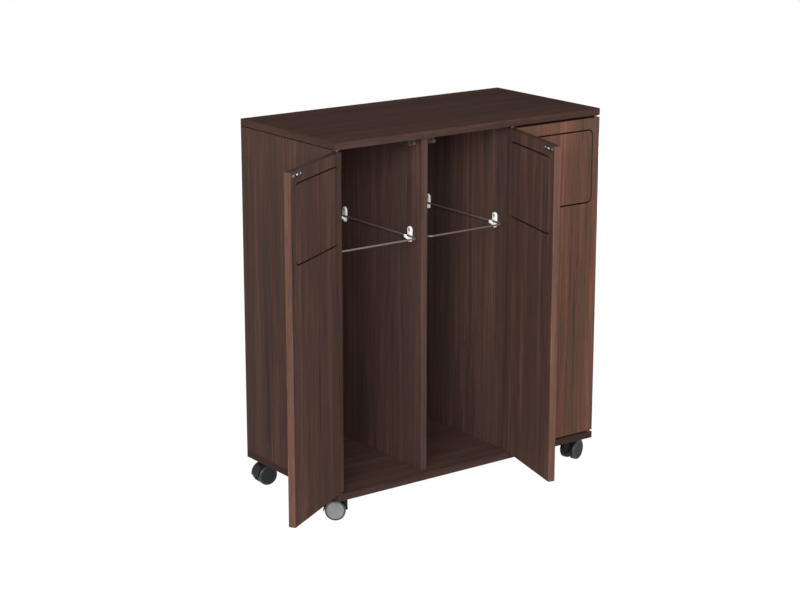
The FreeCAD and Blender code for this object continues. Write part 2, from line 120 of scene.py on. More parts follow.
# Walnut-print melamine pressed on particle board: straight streaks in broad warm and cool bands,
# under a matt film with shallow pores that break up the little sheen it has
walnut = {
    # widths in mm; real lines are about 0.5 mm wide and pores 0.3 mm, drawn coarse enough to show
    "band": {"width": 34, "detail": 1.0, "share": 0.40},      # broad lighter and darker zones
    "streak": {"width": 9, "detail": 2.0, "share": 0.36},
    "line": {"width": 3.0, "detail": 2.0, "share": 0.24},
    "pore": {"width": 1.2, "detail": 0.0},
    "sway": {"width": 80, "detail": 1.0},    # between places where the streaks lean apart
    "swayReach": 5,        # mm that they lean
    "swayShrink": 0.14,    # draws the leaning out along the grain
    "stretch": 30,         # times longer along the grain than across it
    "stopPlaces": (0.36, 0.44, 0.50, 0.56, 0.64),
    "carcass": ("#3b2d29", "#473733", "#4d3933", "#543d36", "#5f473f"),
    # painted light: the doors' inner faces, the same melamine as the carcass, carry a lighter copy of its
    # print
    "doorInsideLit": ("#3f302b", "#4b3a36", "#523c36", "#594139", "#654b43"),
    # painted light: the lying boards, the same melamine as the uprights, carry a lighter copy of its print
    "lyingLit": ("#453530", "#4d3c37", "#523d37", "#573f39", "#5e463e"),
    "lyingEdge": ("#3c2e2a", "#433430", "#473530", "#4c3732", "#523d36"),
    "frontBand": ("#3f312d", "#4a3b36", "#4f3c37", "#56413a", "#5f4941"),
    "doorFront": ("#4c3830", "#5f493f", "#69493d", "#724f42", "#87604e"),
    "edgeBand": ("#4f3a33", "#5b433a", "#62463c", "#6a4c40", "#775748"),
    # painted shade: the doors' top and bottom ends, darker than their side edge bands
    "doorEndShade": ("#30241f", "#3a2c28", "#3f2e29", "#45322c", "#4e3a33"),
    "bandReach": 0.4,      # mm of a door's faces that the edge bands wrap over
    "slitShade": ("#1f1613", "#241a17"),    # painted shade: a dark colour on the edges in the slit round a flap, where the gap lies in shade
    "slitPlaces": (0.4, 0.6),
    "slitFacing": 0.6,     # such an edge looks less than this to the front or back
    "endFacing": 0.7,      # a cut end looks more than this along the grain, a front edge to the front
    "shadedSeam": "#241a17",     # painted shade: a dark line along each upright's top, where it butts against the top panel
    "seamReach": 1.6,      # mm
    "poreSpan": (0.60, 0.72), "poreShade": 0.80,
    "roughness": (0.58, 0.72),
    "bump": 0.2, "relief": 0.06,    # mm
    # specular levels; the top is seen at a low angle, where sheen is strong
    "sheen": 0.03, "doorSheen": 0.015, "lyingSheen": 0.001,
}


# the streaks run along the grain, but on cut ends along the edge band
def walnutGrain(tree, own, isEnd, grain, across):
    stretch = 1 / walnut["stretch"]
    drawn = []
    for axis, shrink in ((grain, stretch), (across, stretch), (grain, walnut["swayShrink"])):
        scale = [shrink if spot == axis else 1.0 for spot in range(3)]
        drawn.append(addNode(tree, "ShaderNodeMapping", {"Vector": own, "Scale": scale}))
    onFace, onEnd, onSway = drawn
    straight = addNode(tree, "ShaderNodeMix", {factor: isEnd, firstVector: onFace, secondVector: onEnd},
                       data_type="VECTOR")
    sway = addNode(tree, "ShaderNodeTexNoise", {
        "Vector": onSway, "Scale": perMetre / walnut["sway"]["width"], "Detail": walnut["sway"]["detail"]})
    lean = addNode(tree, "ShaderNodeVectorMath", [sway.outputs["Color"], noiseMiddle], operation="SUBTRACT")
    swing = addNode(tree, "ShaderNodeMapRange", [isEnd, 0.0, 1.0, 2 * walnut["swayReach"] * mm, 0.0])
    push = addNode(tree, "ShaderNodeVectorMath", {0: lean, "Scale": swing}, operation="SCALE")
    wood = addNode(tree, "ShaderNodeVectorMath", [straight.outputs[mixedVector], push], operation="ADD")
    noises = {}
    for layer in ("band", "streak", "line", "pore"):
        look = walnut[layer]
        noises[layer] = addNode(tree, "ShaderNodeTexNoise", {
            "Vector": wood, "Scale": perMetre / look["width"], "Detail": look["detail"]})
    return noises


# where a door carries other prints than on its inner face, painted shade on its ends and in its flap's slit
# among them, as pairs of place and print, the last on top
def doorLayers(tree, coords, turn, spot, isEnd, prints, door):
    isFront = addNode(tree, "ShaderNodeMath", [spot.outputs[yAxis], door["front"]], operation="LESS_THAN")
    isLow = addNode(tree, "ShaderNodeMath", [spot.outputs[xAxis], door["low"]], operation="LESS_THAN")
    isHigh = addNode(tree, "ShaderNodeMath", [spot.outputs[xAxis], door["high"]], operation="GREATER_THAN")
    isEdge = addNode(tree, "ShaderNodeMath", [isLow, isHigh], operation="MAXIMUM")
    facing = addNode(tree, "ShaderNodeMapping", {
        "Vector": coords.outputs["Normal"], "Rotation": (0.0, 0.0, turn)}, vector_type="VECTOR")
    tilt = addNode(tree, "ShaderNodeSeparateXYZ", [facing])
    # painted shade: the edges in the slit round the flap take a dark colour
    flat = addNode(tree, "ShaderNodeMath", [tilt.outputs[yAxis]], operation="ABSOLUTE")
    isSide = addNode(tree, "ShaderNodeMath", [flat, walnut["slitFacing"]], operation="LESS_THAN")
    away = addNode(tree, "ShaderNodeMath", [spot.outputs[zAxis], door["slitMiddle"]], operation="SUBTRACT")
    apart = addNode(tree, "ShaderNodeMath", [away], operation="ABSOLUTE")
    isNear = addNode(tree, "ShaderNodeMath", [apart, door["slitReach"]], operation="LESS_THAN")
    isSlitShade = addNode(tree, "ShaderNodeMath", [isSide, isNear], operation="MULTIPLY")
    return [(isEnd, prints["doorEndShade"]), (isFront, prints["doorFront"]), (isSlitShade, prints["slitShade"]),
            (isEdge, prints["edgeBand"])]


def walnutMelamine(name, face, grain, across, level, place=None, door=None, edging=None, shadedSeam=None):
    finish, tree, shader = newFinish(name)
    coords = addNode(tree, "ShaderNodeTexCoord")
    turn, shift = (0.0, Vector()) if place is None else (place.to_euler().z, place.translation)
    own = addNode(tree, "ShaderNodeMapping", {
        "Vector": coords.outputs["Object"], "Location": shift, "Rotation": (0.0, 0.0, turn)})
    spot = addNode(tree, "ShaderNodeSeparateXYZ", [own])
    normal = addNode(tree, "ShaderNodeSeparateXYZ", [coords.outputs["Normal"]])
    steep = addNode(tree, "ShaderNodeMath", [normal.outputs[grain]], operation="ABSOLUTE")
    isEnd = addNode(tree, "ShaderNodeMath", [steep, walnut["endFacing"]], operation="GREATER_THAN")
    noises = walnutGrain(tree, own, isEnd, grain, across)
    tone = 0.0
    for layer in ("band", "streak", "line"):
        tone = addNode(tree, "ShaderNodeMath", [noises[layer], walnut[layer]["share"], tone],
                       operation="MULTIPLY_ADD")
    kinds = [face]
    if edging:
        kinds.append(edging)
    if door:
        kinds += ["doorFront", "edgeBand", "doorEndShade", "slitShade"]
    prints = {}
    for kind in kinds:
        prints[kind] = addNode(tree, "ShaderNodeValToRGB", {"Fac": tone})
        setStops(prints[kind], walnut["slitPlaces" if kind == "slitShade" else "stopPlaces"], walnut[kind])
    layers = []
    if edging:
        # the front edges and the cut ends carry a band of their own
        isFront = addNode(tree, "ShaderNodeMath", [normal.outputs[yAxis], -walnut["endFacing"]],
                          operation="LESS_THAN")
        isRim = addNode(tree, "ShaderNodeMath", [isFront, isEnd], operation="MAXIMUM")
        layers.append((isRim, prints[edging]))
    # painted shade: a dark line along the upright's top, under the top panel
    if shadedSeam:
        isHigh = addNode(tree, "ShaderNodeMath", [spot.outputs[zAxis], shadedSeam], operation="GREATER_THAN")
        layers.append((isHigh, linear(walnut["shadedSeam"])))
    if door:
        layers += doorLayers(tree, coords, turn, spot, isEnd, prints, door)
    tint = prints[face].outputs[0]
    for share, cover in layers:
        covered = addNode(tree, "ShaderNodeMix", {factor: share, under: tint, over: cover}, data_type="RGBA")
        tint = covered.outputs[mixed]
    pit = addNode(tree, "ShaderNodeMapRange", [noises["pore"], *walnut["poreSpan"], 0.0, 1.0])
    shade = addNode(tree, "ShaderNodeMapRange", [pit, 0.0, 1.0, 1.0, walnut["poreShade"]])
    pored = addNode(tree, "ShaderNodeVectorMath", {0: tint, "Scale": shade}, operation="SCALE")
    rough = addNode(tree, "ShaderNodeMapRange", [noises["streak"], *noiseSpan, *walnut["roughness"]])
    depth = addNode(tree, "ShaderNodeMath", [noises["line"], pit], operation="SUBTRACT")
    bump = addNode(tree, "ShaderNodeBump", {
        "Strength": walnut["bump"], "Distance": walnut["relief"] * mm, "Height": depth})
    setInputs(tree, shader, {
        "Base Color": pored, "Roughness": rough, "Normal": bump, "Specular IOR Level": level})
    return finish


# Moulded plastic: even colour with faint flow marks, and a fine spark-eroded grain that softens the shine
plastic = {
    "broadSize": 14.0, "broadDetail": 2.0, "fineSize": 0.5, "fineDetail": 1.0,    # mm, flow and grain
    "tone": (0.90, 1.08), "gloss": (-0.05, 0.07),
    "bump": 0.3, "relief": 0.03,    # mm
    "metal": 0.0, "level": 0.5,
}
# Plated or drawn steel: bright metal, slightly cloudy, with fine scratches; dull zinc scatters more light
steel = {
    "broadSize": 6.0, "broadDetail": 3.0, "fineSize": 1.6, "fineDetail": 2.0,    # mm, clouds and scratches
    "tone": (0.86, 1.06), "gloss": (-0.06, 0.08),
    "bump": 0.2, "relief": 0.02,    # mm
    "metal": 1.0, "level": 0.5,
}


# a broad noise shifts the colour's tone, and a fine one its gloss and surface
def evenFinish(name, color, rough, kind, **changes):
    look = {**kind, **changes}
    finish, tree, shader = newFinish(name)
    coords = addNode(tree, "ShaderNodeTexCoord")
    noises = {}
    for layer in ("broad", "fine"):
        noises[layer] = addNode(tree, "ShaderNodeTexNoise", {
            "Vector": coords.outputs["Object"], "Scale": perMetre / look[layer + "Size"],
            "Detail": look[layer + "Detail"]})
    lift = addNode(tree, "ShaderNodeMapRange", [noises["broad"], *noiseSpan, *look["tone"]])
    tint = addNode(tree, "ShaderNodeVectorMath", {0: linear(color)[:3], "Scale": lift}, operation="SCALE")
    roughSpan = [rough + change for change in look["gloss"]]
    gloss = addNode(tree, "ShaderNodeMapRange", [noises["fine"], *noiseSpan, *roughSpan])
    bump = addNode(tree, "ShaderNodeBump", {
        "Strength": look["bump"], "Distance": look["relief"] * mm, "Height": noises["fine"]})
    setInputs(tree, shader, {
        "Base Color": tint, "Roughness": gloss, "Normal": bump,
        "Metallic": look["metal"], "Specular IOR Level": look["level"]})
    return finish


# Bronzed steel strike: dark cloudy brown with a soft shine, and in its middle a bright oblong stud
# in a black cup
strike = {
    "plate": "#4b3c36", "cup": "#211d1c", "stud": "#f4f3f0",
    "cupRadius": 5.6, "studWidth": 8.6, "studHeight": 4.2,    # mm
    "cloudSize": 3.0, "cloudDetail": 3.0,    # mm
    "tone": (0.85, 1.1), "roughness": (0.30, 0.42),
    "bump": 0.2, "relief": 0.03,    # mm
    "metal": 0.2,
}


def strikeFinish(name, place, middle):
    finish, tree, shader = newFinish(name)
    coords = addNode(tree, "ShaderNodeTexCoord")
    own = addNode(tree, "ShaderNodeMapping", {
        "Vector": coords.outputs["Object"], "Location": place.translation - middle,
        "Rotation": (0.0, 0.0, place.to_euler().z)})
    cloud = addNode(tree, "ShaderNodeTexNoise", {
        "Vector": own, "Scale": perMetre / strike["cloudSize"], "Detail": strike["cloudDetail"]})
    lift = addNode(tree, "ShaderNodeMapRange", [cloud, *noiseSpan, *strike["tone"]])
    plate = addNode(tree, "ShaderNodeVectorMath", {0: linear(strike["plate"])[:3], "Scale": lift},
                    operation="SCALE")
    cupScale = (1 / (strike["cupRadius"] * mm),) * 3
    studScale = (2 / (strike["studWidth"] * mm), 0.0, 2 / (strike["studHeight"] * mm))
    tint = plate.outputs[0]
    for scale, color in ((cupScale, strike["cup"]), (studScale, strike["stud"])):
        scaled = addNode(tree, "ShaderNodeVectorMath", [own, scale], operation="MULTIPLY")
        reach = addNode(tree, "ShaderNodeVectorMath", [scaled], operation="LENGTH")
        isIn = addNode(tree, "ShaderNodeMath", [reach.outputs["Value"], 1.0], operation="LESS_THAN")
        covered = addNode(tree, "ShaderNodeMix", {factor: isIn, under: tint, over: linear(color)},
                          data_type="RGBA")
        tint = covered.outputs[mixed]
    gloss = addNode(tree, "ShaderNodeMapRange", [cloud, *noiseSpan, *strike["roughness"]])
    bump = addNode(tree, "ShaderNodeBump", {
        "Strength": strike["bump"], "Distance": strike["relief"] * mm, "Height": cloud})
    setInputs(tree, shader, {
        "Base Color": tint, "Roughness": gloss, "Normal": bump, "Metallic": strike["metal"]})
    return finish


# Hardboard with a printed paper face: flat dark brown with a weak straight print and little shine
hardboardLook = {
    "width": 11.0, "detail": 3.0, "shrink": 1 / 40,    # mm across the streaks
    "places": (0.34, 0.5, 0.66), "colors": ("#302522", "#382b27", "#41322d"),
    "rough": 0.6, "level": 0.3,
    "fibre": 1.5, "fibreDetail": 2.0, "bump": 0.2, "relief": 0.05,    # mm
}
# Turned beech: pale, dull wood with a straight grain
beechLook = {
    "width": 1.2, "detail": 3.0, "shrink": 0.1,    # mm across the grain
    "places": (0.35, 0.65), "colors": ("#b08a5e", "#cda97c"),
    "rough": 0.65, "level": 0.5,
}


# upright streaks, on a fibrous surface where the look has fibres
def streakedFinish(name, look):
    finish, tree, shader = newFinish(name)
    coords = addNode(tree, "ShaderNodeTexCoord")
    drawn = addNode(tree, "ShaderNodeMapping", {
        "Vector": coords.outputs["Object"], "Scale": (1.0, 1.0, look["shrink"])})
    streak = addNode(tree, "ShaderNodeTexNoise", {
        "Vector": drawn, "Scale": perMetre / look["width"], "Detail": look["detail"]})
    tint = addNode(tree, "ShaderNodeValToRGB", {"Fac": streak})
    setStops(tint, look["places"], look["colors"])
    setInputs(tree, shader, {
        "Base Color": tint, "Roughness": look["rough"], "Specular IOR Level": look["level"]})
    if "fibre" in look:
        fibre = addNode(tree, "ShaderNodeTexNoise", {
            "Vector": coords.outputs["Object"], "Scale": perMetre / look["fibre"],
            "Detail": look["fibreDetail"]})
        bump = addNode(tree, "ShaderNodeBump", {
            "Strength": look["bump"], "Distance": look["relief"] * mm, "Height": fibre})
        setInputs(tree, shader, {"Normal": bump})
    return finish


def dress(names, finish):
    for name in names:
        slots = nodes[name].data.materials
        slots.clear()
        slots.append(finish)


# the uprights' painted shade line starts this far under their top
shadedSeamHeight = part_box("left_side_panel")[1].z - walnut["seamReach"] * mm
uprightWalnutWithSeamShade = walnutMelamine("walnutMelamineUprightWithSeamShade", "carcass", zAxis, yAxis, walnut["sheen"],
                               edging="frontBand", shadedSeam=shadedSeamHeight)
# the lying boards take the lighter, painted-light copy of the print
lyingWalnutLit = walnutMelamine("walnutMelamineLyingLit", "lyingLit", xAxis, yAxis, walnut["lyingSheen"],
                             edging="lyingEdge")
# name, colour and roughness, then what differs from the usual plastic or steel
zincSteel = evenFinish("zincPlatedSteel", "#c6c8ca", 0.36, steel, metal=0.7)
greyScrew = evenFinish("greyPhosphatedSteel", "#c4c1bd", 0.5, steel, broadSize=3.0, metal=0.5)
pinSteel = evenFinish("brownedSteelPin", "#6a5a50", 0.42, steel)
wireSteel = evenFinish("dullGalvanisedWire", "#786e6a", 0.45, steel, broadSize=9.0, metal=0.4)
whiteHook = evenFinish("mouldedWhitePolypropylene", "#fbfaf8", 0.36, plastic)
bushNylon = evenFinish("mouldedBrownNylon", "#5a463c", 0.45, plastic)
latchBody = evenFinish("mouldedDarkBrownPolypropylene", "#41352f", 0.5, plastic)
latchNose = evenFinish("mouldedTaupePolypropylene", "#443a35", 0.5, plastic, level=0.2)
casterBlack = evenFinish("mouldedBlackNylon", "#1b1c1d", 0.42, plastic, fineSize=0.7, level=0.12)
# painted highlight: the rims' shoulders and lips, and the charcoal caps' edges, are a lighter grey than the
# tread, for the light they catch; their glossier surface is real
casterRimHighlight = evenFinish("blackNylonRimHighlight", "#3c3e3f", 0.34, plastic, fineSize=0.7, relief=0.02, level=0.4)
casterCap = evenFinish("mouldedCharcoalNylon", "#2a2c2d", 0.40, plastic, fineSize=0.7, relief=0.02,
                       level=0.14)
# painted light: the one cap that faces the lamp and camera is a pale grey copy of the charcoal caps
litCapCopy = evenFinish("charcoalNylonLitCopy", "#7c7d7e", 0.34, plastic, fineSize=0.7, relief=0.02)
hardboard = streakedFinish("printedHardboard", hardboardLook)
beech = streakedFinish("turnedBeech", beechLook)
print("finishes made:", len(bpy.data.materials))


# Boards: copies of the CAD boards with their outer edges eased
boards = {
    "easing": 1.3, "doorEasing": 0.7,    # mm
    "steps": 3,            # facets of an eased edge
    "slitMargin": 5.0,     # mm above and below a flap that still count as its slit
    "wallGap": 0.02,       # mm; an edge this close to the board's outer box lies on it
    "flatAngle": 0.5,      # degrees; CAD triangles that turn less are joined
    "cornerAngle": 30,     # degrees; edges round a flap's opening turn more
    "sharpAngle": 14,      # degrees; keeps the wide faces flat beside the eased edges
}


def boxOf(points):
    low = Vector([min(p[axis] for p in points) for axis in range(3)])
    high = Vector([max(p[axis] for p in points) for axis in range(3)])
    return low, high


# turns a door as it stands to where it is shut, with its hinge at the origin
def doorPlace(side):
    joint = joints[side + "_door_swing"]
    closed = joint["range_deg"][1 if side == "left" else 0]    # joint value that shuts the door
    return Matrix.Rotation(math.radians(closed), 4, "Z") @ Matrix.Translation(-Vector(joint["pos_m"]))


def shutBox(name, place):
    return boxOf([place @ vert.co for vert in nodes[name].data.vertices])


def easedBoard(name, place, finish, body, easing, framed=False):
    mesh = nodes[name].data.copy()
    mesh.name = name + "_eased"
    work = bmesh.new()
    work.from_mesh(mesh)
    bmesh.ops.remove_doubles(work, verts=work.verts[:], dist=mergeGap * mm)
    bmesh.ops.dissolve_limit(work, angle_limit=math.radians(boards["flatAngle"]), verts=work.verts[:],
                             edges=work.edges[:])
    spots = {vert: place @ vert.co for vert in work.verts}
    walls = []
    for axis in range(3):
        values = [spot[axis] for spot in spots.values()]
        walls += [(axis, min(values)), (axis, max(values))]
    gap = boards["wallGap"] * mm
    corner = math.radians(boards["cornerAngle"])
    rims = []
    for edge in work.edges:
        if len(edge.link_faces) != 2:
            continue
        touched = [axis for axis, level in walls
                   if all(abs(spots[vert][axis] - level) < gap for vert in edge.verts)]
        isOutline = framed and yAxis in touched and edge.calc_face_angle() > corner
        if len(touched) == 2 or isOutline:
            rims.append(edge)
    bmesh.ops.bevel(work, geom=rims, offset=easing * mm, segments=boards["steps"], profile=roundProfile,
                    affect="EDGES", clamp_overlap=False)
    bmesh.ops.dissolve_degenerate(work, dist=shortestEdge * mm, edges=work.edges[:])
    work.to_mesh(mesh)
    work.free()
    if "custom_normal" in mesh.attributes:
        mesh.attributes.remove(mesh.attributes["custom_normal"])
    mesh.shade_smooth()
    mesh.set_sharp_from_angle(angle=math.radians(boards["sharpAngle"]))
    mesh.materials.clear()
    mesh.materials.append(finish)
    piece = bpy.data.objects.new(name + "_board", mesh)
    scene.collection.objects.link(piece)
    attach(piece, body)
    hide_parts(name)


uprights = ("left_side_panel", "right_side_panel", "left_divider", "right_divider")
for name in uprights:
    easedBoard(name, Matrix(), uprightWalnutWithSeamShade, "cabinet", boards["easing"])
for name in ("top_panel", "bottom_panel"):
    easedBoard(name, Matrix(), lyingWalnutLit, "cabinet", boards["easing"])
for side in sides:
    place = doorPlace(side)
    low, high = shutBox(side + "_door", place)
    flapLow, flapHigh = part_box(side + "_flap")
    reach = walnut["bandReach"] * mm
    door = {"low": low.x + reach, "high": high.x - reach, "front": low.y + reach,
            "slitMiddle": (flapLow.z + flapHigh.z) / 2,
            "slitReach": (flapHigh.z - flapLow.z) / 2 + boards["slitMargin"] * mm}
    # each door's walnut carries painted light: a lighter inner face, shaded ends and a shaded slit round its
    # flap
    doorWalnutWithPaintedLight = walnutMelamine(side + "DoorWalnutMelamineWithPaintedLight", "doorInsideLit", zAxis, xAxis,
                                walnut["doorSheen"], place, door)
    easedBoard(side + "_door", place, doorWalnutWithPaintedLight, side + "_door", boards["doorEasing"], framed=True)
    easedBoard(side + "_flap", place, doorWalnutWithPaintedLight, side + "_flap", boards["doorEasing"], framed=True)
print("boards eased")


# separate solids of one node, each as its points
def looseParts(name):
    work = bmesh.new()
    work.from_mesh(nodes[name].data)
    bmesh.ops.remove_doubles(work, verts=work.verts[:], dist=mergeGap * mm)
    seen = set()
    parts = []
    for first in work.verts:
        if first in seen:
            continue
        seen.add(first)
        waiting, part = [first], []
        while waiting:
            vert = waiting.pop()
            part.append(vert.co.copy())
            for edge in vert.link_edges:
                other = edge.other_vert(vert)
                if other not in seen:
                    seen.add(other)
                    waiting.append(other)
        parts.append(part)
    work.free()
    return parts


# what all pieces grown by nodes share
grown = {"seed": 7, "sharpAngle": 35}    # seed of the screws' turns, degrees


def newTree(name, sizes):
    tree = bpy.data.node_groups.new(name, "GeometryNodeTree")
    tree.interface.new_socket("Geometry", in_out="INPUT", socket_type="NodeSocketGeometry")
    for label in sizes:
        tree.interface.new_socket(label, in_out="INPUT", socket_type="NodeSocketFloat")
    tree.interface.new_socket("Finish", in_out="INPUT", socket_type="NodeSocketMaterial")
    tree.interface.new_socket("Geometry", in_out="OUTPUT", socket_type="NodeSocketGeometry")
    return tree, tree.nodes.new("NodeGroupInput")


# sets one shape on every point, turned so that the chosen axis follows the point's aim
def spreadShape(tree, start, shape, axis, twist):
    aim = addNode(tree, "GeometryNodeInputNamedAttribute", {"Name": "aim"}, data_type="FLOAT_VECTOR")
    facing = addNode(tree, "FunctionNodeAlignRotationToVector", {"Vector": aim}, axis=axis,
                     pivot_axis="Z" if axis == "X" else "AUTO")
    if twist:
        # inputs 2 and 3 are the limits of a plain number, and output 1 is that number
        chance = addNode(tree, "FunctionNodeRandomValue", {2: 0.0, 3: math.pi / 2, "Seed": grown["seed"]},
                         data_type="FLOAT")
        spin = addNode(tree, "FunctionNodeAxisAngleToRotation", {
            "Axis": (0, 0, 1), "Angle": chance.outputs[1]})
        facing = addNode(tree, "FunctionNodeRotateRotation", [facing, spin], rotation_space="LOCAL")
    spread = addNode(tree, "GeometryNodeInstanceOnPoints", {
        "Points": start.outputs["Geometry"], "Instance": shape, "Rotation": facing})
    real = addNode(tree, "GeometryNodeRealizeInstances", {"Geometry": spread})
    painted = addNode(tree, "GeometryNodeSetMaterial", {
        "Geometry": real, "Material": start.outputs["Finish"]})
    addNode(tree, "NodeGroupOutput", [painted])


def growPiece(name, tree, points, aims, settings):
    mesh = bpy.data.meshes.new(name)
    mesh.from_pydata(points, [], [])
    aim = mesh.attributes.new("aim", "FLOAT_VECTOR", "POINT")
    aim.data.foreach_set("vector", [value for direction in aims for value in direction])
    piece = bpy.data.objects.new(name, mesh)
    scene.collection.objects.link(piece)
    modifier = piece.modifiers.new("nodes", "NODES")
    modifier.node_group = tree
    for item in tree.interface.items_tree:
        if item.in_out == "INPUT" and item.name in settings:
            modifier[item.identifier] = settings[item.name]
    bpy.context.view_layer.update()
    result = bpy.data.meshes.new_from_object(piece.evaluated_get(bpy.context.evaluated_depsgraph_get()))
    piece.modifiers.remove(modifier)
    piece.data = result
    result.name = name
    work = bmesh.new()
    work.from_mesh(result)
    bmesh.ops.dissolve_degenerate(work, dist=shortestEdge * mm, edges=work.edges[:])
    work.to_mesh(result)
    work.free()
    result.shade_smooth()
    result.set_sharp_from_angle(angle=math.radians(grown["sharpAngle"]))
    return piece


# cuts a cross recess into a shape's face at height 0, and a further tool where there is one;
# the tools stand half out of the face
def cutFace(tree, size, shape, deep, tool=None):
    cut = addNode(tree, "GeometryNodeMeshBoolean", {0: shape}, operation="DIFFERENCE", solver="MANIFOLD")
    for first, second in (("Slot Length", "Slot Width"), ("Slot Width", "Slot Length")):
        span = addNode(tree, "ShaderNodeCombineXYZ", [size[first], size[second], deep])
        slot = addNode(tree, "GeometryNodeMeshCube", {"Size": span})
        tree.links.new(slot.outputs[0], cut.inputs[1])
    if tool:
        tree.links.new(tool.outputs[0], cut.inputs[1])
    return cut


# Screws: countersunk heads with a cross recess on plain shanks; the shares are of the head's radius
screws = {
    "headShare": 0.55, "slotShare": 1.1, "slotWidthShare": 0.24, "slotDepthShare": 0.2,
    "neckShare": 0.6,      # width of the head's foot in that of the shank
    "overlap": 0.5,        # share of the head that the shank reaches into, so that the two make one solid
    "headSteps": 32, "shankSteps": 20,
    "levelGap": 0.01,      # mm; points this close to an end lie on it
}


def screwTree():
    tree, start = newTree("crossHeadScrew", ("Head Radius", "Head Height", "Shank Radius", "Shank Length",
                                             "Slot Length", "Slot Width", "Slot Depth"))
    size = start.outputs
    down = addNode(tree, "ShaderNodeMath", [size["Head Height"], -1.0], operation="MULTIPLY")
    sink = addNode(tree, "ShaderNodeCombineXYZ", {"Z": down})
    neck = addNode(tree, "ShaderNodeMath", [size["Shank Radius"], screws["neckShare"]],
                   operation="MULTIPLY")
    cone = addNode(tree, "GeometryNodeMeshCone", {
        "Vertices": screws["headSteps"], "Radius Top": size["Head Radius"], "Radius Bottom": neck,
        "Depth": size["Head Height"]})
    head = addNode(tree, "GeometryNodeTransform", {"Geometry": cone, "Translation": sink})
    length = addNode(tree, "ShaderNodeMath", [size["Head Height"], screws["overlap"], size["Shank Length"]],
                     operation="MULTIPLY_ADD")
    shankStart = addNode(tree, "ShaderNodeMath", [size["Head Height"], screws["overlap"] / 2 - 1],
                         operation="MULTIPLY")
    shankMiddle = addNode(tree, "ShaderNodeMath", [size["Shank Length"], -0.5, shankStart],
                          operation="MULTIPLY_ADD")
    lower = addNode(tree, "ShaderNodeCombineXYZ", {"Z": shankMiddle})
    rod = addNode(tree, "GeometryNodeMeshCylinder", {
        "Vertices": screws["shankSteps"], "Radius": size["Shank Radius"], "Depth": length})
    shank = addNode(tree, "GeometryNodeTransform", {"Geometry": rod, "Translation": lower})
    whole = addNode(tree, "GeometryNodeMeshBoolean", operation="UNION", solver="MANIFOLD")
    for solid in (head, shank):
        tree.links.new(solid.outputs[0], whole.inputs[1])
    deep = addNode(tree, "ShaderNodeMath", [size["Slot Depth"], 2.0], operation="MULTIPLY")
    spreadShape(tree, start, cutFace(tree, size, whole, deep), "Z", True)
    return tree


# where each screw of a node sits: the middle of its head, the way the head faces, and its sizes
def screwPlaces(name):
    places = []
    for part in looseParts(name):
        low, high = boxOf(part)
        span = high - low
        axis = max(range(3), key=lambda k: span[k])
        others = [k for k in range(3) if k != axis]
        middle = (low + high) / 2

        def reach(level):
            ring = [p for p in part if abs(p[axis] - level) < screws["levelGap"] * mm]
            return max(math.hypot(*(p[k] - middle[k] for k in others)) for p in ring)

        top = max((low[axis], high[axis]), key=reach)
        aim = Vector((0, 0, 0))
        aim[axis] = 1.0 if top == high[axis] else -1.0
        point = middle.copy()
        point[axis] = top
        shank = min(reach(low[axis]), reach(high[axis]))
        places.append({"point": point, "aim": aim, "head": reach(top), "shank": shank,
                       "length": span[axis]})
    return places


crossHead = screwTree()


def crossHeadScrews(name, node, finish):
    places = screwPlaces(node)
    headRadius = places[0]["head"]
    headHeight = screws["headShare"] * headRadius
    settings = {"Head Radius": headRadius, "Head Height": headHeight, "Shank Radius": places[0]["shank"],
                "Shank Length": places[0]["length"] - headHeight,
                "Slot Length": screws["slotShare"] * headRadius,
                "Slot Width": screws["slotWidthShare"] * headRadius,
                "Slot Depth": screws["slotDepthShare"] * headRadius, "Finish": finish}
    piece = growPiece(name, crossHead, [p["point"] for p in places], [p["aim"] for p in places], settings)
    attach(piece, "cabinet")
    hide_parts(node)


for node in ("hook_screws", "latch_screws", "base_screws", "caster_screws"):
    crossHeadScrews("cross_head_" + node, node, zincSteel)

# Strike screws: two small ones in each strike plate
strikeScrews = {
    "Head Radius": 2.2, "Head Height": 0.9, "Shank Radius": 1.5, "Shank Length": 9.0,    # mm
    "Slot Length": 2.6, "Slot Width": 0.6, "Slot Depth": 0.6,
}
strikeScrewSpacing = 31.0    # mm
for side in sides:
    place = doorPlace(side)
    back = place.inverted()
    low, high = shutBox(side + "_strike_plate", place)
    stud = Vector(((low.x + high.x) / 2, high.y, (low.z + high.z) / 2))
    dress([side + "_strike_plate"], strikeFinish(side + "BronzedSteelStrike", place, stud))
    points = []
    for end in (-1, 1):
        points.append(back @ (stud + Vector((end * strikeScrewSpacing / 2 * mm, 0, 0))))
    aim = back.to_3x3() @ Vector((0, 1, 0))
    settings = {label: size * mm for label, size in strikeScrews.items()}
    settings["Finish"] = greyScrew
    piece = growPiece(side + "_strike_screws", crossHead, points, [aim, aim], settings)
    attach(piece, side + "_door")
print("screws set")


# Cam locks: die-cast barrels with a cross recess and an arrow notch on the face
camLock = {
    "slotLength": 8.0, "slotWidth": 1.6, "slotDepth": 1.4,    # mm
    "arrowRadius": 1.3, "arrowPlace": 5.6, "arrowCorners": 3,
    "steps": 40,
    "flushGap": 0.1,       # mm; a barrel's face this close to a board's face lies in it
}


